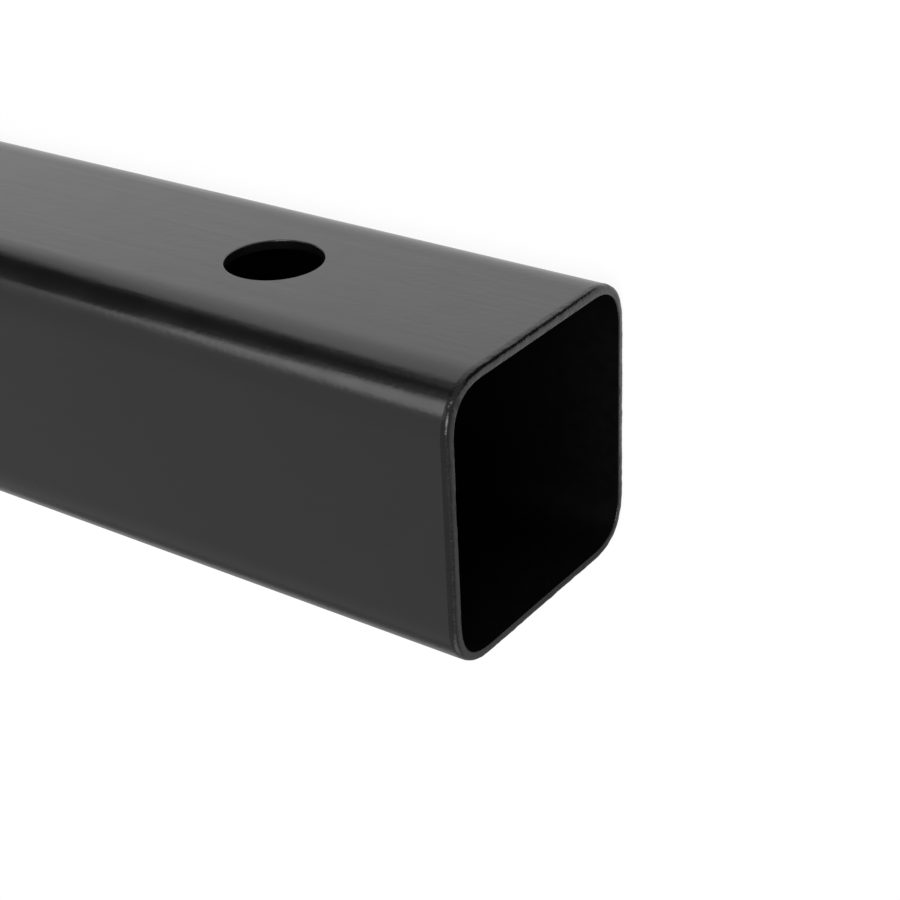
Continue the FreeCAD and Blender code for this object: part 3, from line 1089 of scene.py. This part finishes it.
def star_outline():
    """The lobes' outline: the outer circle, the scallops and the small arcs between."""
    scallop_at = KNOB_RADIUS - SCALLOP_DEPTH + SCALLOP_RADIUS
    round_at = KNOB_RADIUS - LOBE_ROUND
    reach = SCALLOP_RADIUS + LOBE_ROUND
    turn = math.acos((round_at**2 + scallop_at**2 - reach**2) / (2 * round_at * scallop_at))
    points = []
    for lobe in range(KNOB_LOBES):
        hollow = math.pi / 2 + (2 * lobe + 1) * math.pi / KNOB_LOBES
        start, end = hollow - turn, hollow + turn
        before, after = polar(round_at, start), polar(round_at, end)
        scallop = polar(scallop_at, hollow)
        facing = scallop - before
        into = math.atan2(facing.y, facing.x)
        while into < start:
            into += 2 * math.pi
        leave = 2 * hollow - into
        points += arc(before, LOBE_ROUND, start, into, 8)
        points += arc(scallop, SCALLOP_RADIUS, into + math.pi, leave + math.pi, 20)
        points += arc(after, LOBE_ROUND, leave, end, 8)
        points += arc(Vector((0, 0)), KNOB_RADIUS, end, start + 2 * math.pi / KNOB_LOBES, 14)
    return points


def make_knob(height):
    knob = draw_strip("star_knob", [Vector((KNOB_BODY_X, p.x, height + p.y)) for p in star_outline()])
    # The first call closes the ring and the second fills it
    bpy.ops.mesh.edge_face_add()
    bpy.ops.mesh.edge_face_add()
    bpy.ops.mesh.select_mode(type="FACE")
    pick_all()
    bpy.ops.mesh.extrude_region_move(TRANSFORM_OT_translate={"value": (KNOB_THICKNESS, 0, 0)})
    close_outwards()
    for x, width in KNOB_EDGES:
        round_edges(knob, lambda edge: all(abs(v.co.x - x) < TOUCH for v in edge.verts), width, 5)
    carve(knob, lathe("hub", HUB_OUTLINE, (0, 0, height), ALONG), "UNION")
    carve(knob, hex_blank("pocket", POCKET_FLATS, HEAD_SEAT_X, KNOB_BACK_X + CLEAR, height))
    carve(knob, bar("hole", BLANK_RADIUS, (KNOB_FRONT_X - MM, 0, height), (KNOB_BACK_X, 0, height)))
    return knob


# %% [markdown]
# The pad at the screw's tip stays still against the pole while the screw turns. It is a small disc
# with a stem, turned from nylon.

# %% Swivel pad
PAD_FACE_X = 0.275
PAD_BACK_X = 0.2773
PAD_RADIUS = 7 * MM
PAD_STEM_RADIUS = 2.5 * MM
PAD_STEM_END_X = 0.28335
PAD_OUTLINE = (
    (PAD_FACE_X, 0),
    (PAD_FACE_X, PAD_RADIUS),
    (PAD_BACK_X, PAD_RADIUS),
    (PAD_BACK_X, PAD_STEM_RADIUS),
    (PAD_STEM_END_X, PAD_STEM_RADIUS),
    (PAD_STEM_END_X, 0),
)
PAD_ROUNDS = (
    (PAD_FACE_X, PAD_RADIUS, 0.5 * MM),
    (PAD_BACK_X, PAD_RADIUS, 0.3 * MM),
    (PAD_STEM_END_X, PAD_STEM_RADIUS, 0.4 * MM),
)


def make_pad(height):
    pad = lathe("pad_disc", PAD_OUTLINE, (0, 0, height), ALONG)
    for along, radius, width in PAD_ROUNDS:
        round_ring(pad, (0, 0, height), ALONG, along, radius, width, 3)
    return pad


# %% [markdown]
# Both screws are alike, so each piece is modelled once, at the lower height. Its copy is lifted to the
# upper height with a mesh of its own, because every piece keeps its place in its mesh.

# %% Clamp screws in place
lower = SCREW_HEIGHTS["lower"]
for maker, node, body, slot, material in (
    (make_nut, "weld_nut", None, "powder_coat", plate_coat),
    (make_nut_weld, "nut_weld", None, "coated_weld", weld_coat),
    (make_bolt, "clamp_bolt", "screw", "zinc_bolt", zinc),
    (make_knob, "knob", "screw", "knob_plastic", knob_plastic),
    (make_pad, "swivel_pad", "pad", "pad_nylon", nylon),
):
    first = maker(lower)
    kind = first.name
    twin = twin_of(first)
    twin.location.z = SCREW_HEIGHTS["upper"] - lower
    for level, piece in (("lower", first), ("upper", twin)):
        settle(piece, f"{level}_{kind}")
        dress(piece, f"{level}_{node}", f"{level}_{body}" if body else "welded_mount", slot, material)

# %% [markdown]
# ## The studio
#
# The mount is photographed on white. The camera has to see white paper that keeps a soft shadow, but a
# satin black coat shows whatever is around it, and white on all sides would turn it grey. In a studio
# the paper falls off into the dark beyond the lamps; here that fall-off is painted into the floor's glow,
# for reflections only. So the camera sees the floor white everywhere, while a reflection sees a painted
# bright strip along the shank and a painted pool of light on its right. Both are painted dimmer on the
# left, and past them the floor is painted grey, except for a painted dark sector that opens out on the
# right.

# %% Floor: the light and dark painted into it for reflections
# Where the floor's painted light and painted dark lie, as reflections see them.
POOL_CENTRE = (0, -0.12, 0)
POOL_TURN = (0, 0, math.radians(-62))
POOL_STRETCH = (3, 1, 1)
POOL_FULL = 0.05
POOL_END = 0.22
POOL_LEVEL = 0.8
NEAR_FULL = 0.04
NEAR_END = 0.16
NEAR_LEVEL = 0.9
DARK_FROM = (0, -0.02, 0)
DARK_TOWARDS = math.radians(-52)
DARK_CORE = math.radians(24)
DARK_EDGE = math.radians(46)
REST_LEVEL = 0.5
LEFT_FROM = 0.03
LEFT_SIDE = 0.2


def maths(owner, operation, *values, kind="ShaderNodeMath"):
    return add_node(owner, kind, dict(enumerate(values)), operation=operation).outputs


def vector_maths(owner, operation, *values):
    return maths(owner, operation, *values, kind="ShaderNodeVectorMath")


def any_of(owner, *sockets):
    """The brightest of several values."""
    result = sockets[0]
    for socket in sockets[1:]:
        result = maths(owner, "MAXIMUM", result, socket)[0]
    return result


def times(owner, value, other):
    return maths(owner, "MULTIPLY", value, other)[0]


def fade(material, distance, full, end, level):
    """Falls softly from a level to nothing between two distances."""
    return remap(material, distance, (full, end), (level, 0), interpolation_type="SMOOTHSTEP")


def painted_pool_light(material, place):
    """A painted pool of light: a long bright oval on the right of the shank."""
    turned = add_node(
        material, "ShaderNodeMapping",
        {"Vector": place, "Location": POOL_CENTRE, "Rotation": POOL_TURN, "Scale": POOL_STRETCH},
        vector_type="TEXTURE",
    )
    away = vector_maths(material, "LENGTH", turned.outputs[0])["Value"]
    return fade(material, away, POOL_FULL, POOL_END, POOL_LEVEL)


def painted_light_strip(material, across):
    """A painted strip of light along the shank."""
    distance = maths(material, "ABSOLUTE", across)[0]
    return fade(material, distance, NEAR_FULL, NEAR_END, NEAR_LEVEL)


# Painted dimming of the floor's painted light towards the left.
def painted_left_dimming(material, across):
    return remap(material, across, (0, LEFT_FROM), (1, LEFT_SIDE))


def painted_far_grey(material, place):
    """The painted grey of the floor further out, with its painted dark sector."""
    offset = vector_maths(material, "SUBTRACT", place, DARK_FROM)[0]
    outward = vector_maths(material, "NORMALIZE", offset)[0]
    dark_way = (math.cos(DARK_TOWARDS), math.sin(DARK_TOWARDS), 0)
    facing = vector_maths(material, "DOT_PRODUCT", outward, dark_way)["Value"]
    return fade(material, facing, math.cos(DARK_EDGE), math.cos(DARK_CORE), REST_LEVEL)


# %% Floor: the paper
PAPER = (0.9, 0.9, 0.9, 1)
FLOOR_SIZE = 40
FLOOR_DROP = 0.2 * MM
WHITE_SHARE = 0.97
PICTURE_SHARE = 0.86
PICTURE_LEVEL = 1.07


def make_floor():
    bpy.ops.mesh.primitive_plane_add(size=FLOOR_SIZE, location=(POLE_X / 2, 0, GROUND - FLOOR_DROP))
    floor = fresh("floor")
    material, shader = new_material("floor_paper")
    finish_from(shader, Base_Color=PAPER, Roughness=0.9)
    path = add_node(material, "ShaderNodeLightPath").outputs
    place = add_node(material, "ShaderNodeTexCoord").outputs["Object"]
    across = add_node(material, "ShaderNodeSeparateXYZ", {0: place}).outputs["Y"]
    # The painted pool and strip of light, painted dimmer on the left.
    bright = any_of(material, painted_pool_light(material, place), painted_light_strip(material, across))
    bright = times(material, bright, painted_left_dimming(material, across))
    seen = any_of(material, path["Is Camera Ray"], path["Is Transmission Ray"])
    in_picture = times(material, seen, PICTURE_LEVEL)
    strength = any_of(material, in_picture, bright, painted_far_grey(material, place))
    white = add_node(material, "ShaderNodeEmission", {"Strength": strength})
    # Reflections see the floor almost wholly as its painted glow.
    in_gloss = times(material, path["Is Glossy Ray"], WHITE_SHARE)
    share = any_of(material, times(material, seen, PICTURE_SHARE), in_gloss)
    parts = {0: share, 1: shader.outputs["BSDF"], 2: white.outputs["Emission"]}
    blend = add_node(material, "ShaderNodeMixShader", parts)
    feed(material.node_tree.nodes["Material Output"].inputs["Surface"], blend.outputs["Shader"])
    floor.data.materials.append(material)


make_floor()

# %% [markdown]
# Above the floor a dim, even sky fills the reflections, and soft boxes model the form. A small one draws
# the bright line along the corner and a faint one carries it on, a large key lamp stands above, and two
# outline the sleeve and the knobs from the rear and the left. Cards, as a photographer uses them, cut
# the dark lines into the edges; they show only in reflections. Most are black, and those by the open end
# and far off glow faintly, as painted reflections of a lit surround.

# %% World and lamps
SKY_LEVEL = 0.37
CARD_BLACK = (0.004, 0.004, 0.004, 1)
CARD_TOP = GROUND + 0.5 * MM


def make_world():
    world = bpy.data.worlds.new("studio")
    bpy.context.scene.world = world
    world.use_nodes = True
    path = add_node(world, "ShaderNodeLightPath").outputs
    seen = any_of(world, path["Is Camera Ray"], path["Is Transmission Ray"])
    sky = world.node_tree.nodes["Background"].inputs
    feed(sky["Color"], (1, 1, 1, 1))
    feed(sky["Strength"], remap(world, seen, (0, 1), (SKY_LEVEL, 1)))


def softbox(name, place, size, radiance, target):
    """A rectangular lamp. Its power follows from how bright its face looks."""
    bpy.ops.object.light_add(type="AREA", location=place)
    lamp = bpy.context.active_object
    lamp.name = name
    lamp.data.shape = "RECTANGLE"
    lamp.data.size, lamp.data.size_y = size
    lamp.data.energy = radiance * math.pi * size[0] * size[1]
    aim = Vector(target) - Vector(place)
    lamp.rotation_euler = aim.to_track_quat("-Z", "Y").to_euler()
    lamp.visible_camera = False


def card(name, low, high, level=0.0):
    """A card out of every picture, which shows only in reflections. It is black unless it has a level, at
    which it glows as a painted reflection.
    """
    piece = block(name, low, high)
    material, shader = new_material(name)
    finish_from(
        shader, Base_Color=CARD_BLACK, Roughness=1, Emission_Color=(1, 1, 1, 1), Emission_Strength=level
    )
    piece.data.materials.append(material)
    piece.visible_camera = False
    piece.visible_diffuse = False
    piece.visible_shadow = False


def towards(azimuth, elevation, distance):
    a, e = math.radians(azimuth), math.radians(elevation)
    return Vector((math.cos(a) * math.cos(e), math.sin(a) * math.cos(e), math.sin(e))) * distance


make_world()
CORNER = Vector((-0.05, -0.02, 0.02))
SLEEVE_MIDDLE = Vector((POLE_X, 0, 0.05))
SHANK_MIDDLE = Vector((POLE_X / 2, 0, 0.03))
softbox("strip", CORNER + towards(-39, 47, 0.45), (0.17, 0.18), 1.3, CORNER)
softbox("trail", (0.25, -0.2, 0.3), (0.16, 0.12), 0.15, (0, -0.02, 0.02))
softbox("key", (POLE_X / 2 - 0.55, -0.22, 1.15), (0.7, 0.7), 4.5, (POLE_X / 2, 0, 0))
softbox("rear", SLEEVE_MIDDLE + towards(-16, 14, 1.1), (0.7, 0.5), 1.5, SLEEVE_MIDDLE)
softbox("left", SHANK_MIDDLE + towards(112, 24, 1.1), (0.9, 0.5), 1.2, SHANK_MIDDLE)
card("side_card", (0.28, -0.51, GROUND), (1.2, -0.5, 0.36))
card("narrow_card", (0.14, -0.51, 0.1), (0.28, -0.5, 0.25))
card("tall_card", (0.4, -0.51, 0.36), (1.2, -0.5, 0.62))
card("front_card", (-0.26, -0.26, GROUND), (-0.051, -0.031, CARD_TOP))
# The next three glow faintly: painted reflections of a lit surround.
card("low_card", (-0.16, 0.03, GROUND), (-0.08, 0.13, CARD_TOP), 0.6)
card("far_card", (0.15, 0.68, GROUND), (0.65, 0.69, 0.25), 0.19)
card("foot_card", (-0.08, 0.028, GROUND), (-0.05, 0.13, CARD_TOP), 0.25)

# %% [markdown]
# The camera stands above the open end, rolled a quarter turn about the shank, as the mount lies in the
# picture. Its place and lens come from the tube's own edges, which meet at known sizes.

# %% Camera
CAMERA_PLACE = Vector((-0.202997, -0.154562, 0.231266))
CAMERA_LOOKS = Vector((0.5171, 0.4781, -0.7100))
CAMERA_UP = Vector((0.2461, -0.8775, -0.4117))
CAMERA_LENS = 79.23


def make_camera():
    camera = bpy.data.objects.new("camera", bpy.data.cameras.new("camera"))
    bpy.context.scene.collection.objects.link(camera)
    forward = CAMERA_LOOKS.normalized()
    right = forward.cross(CAMERA_UP).normalized()
    up = right.cross(forward)
    turn = Matrix((right, up, -forward)).transposed().to_4x4()
    camera.matrix_world = Matrix.Translation(CAMERA_PLACE) @ turn
    camera.data.sensor_width = 36
    camera.data.lens = CAMERA_LENS
    camera.data.clip_start = 0.01
    bpy.context.scene.camera = camera


make_camera()
bpy.context.scene.view_settings.view_transform = "Standard"
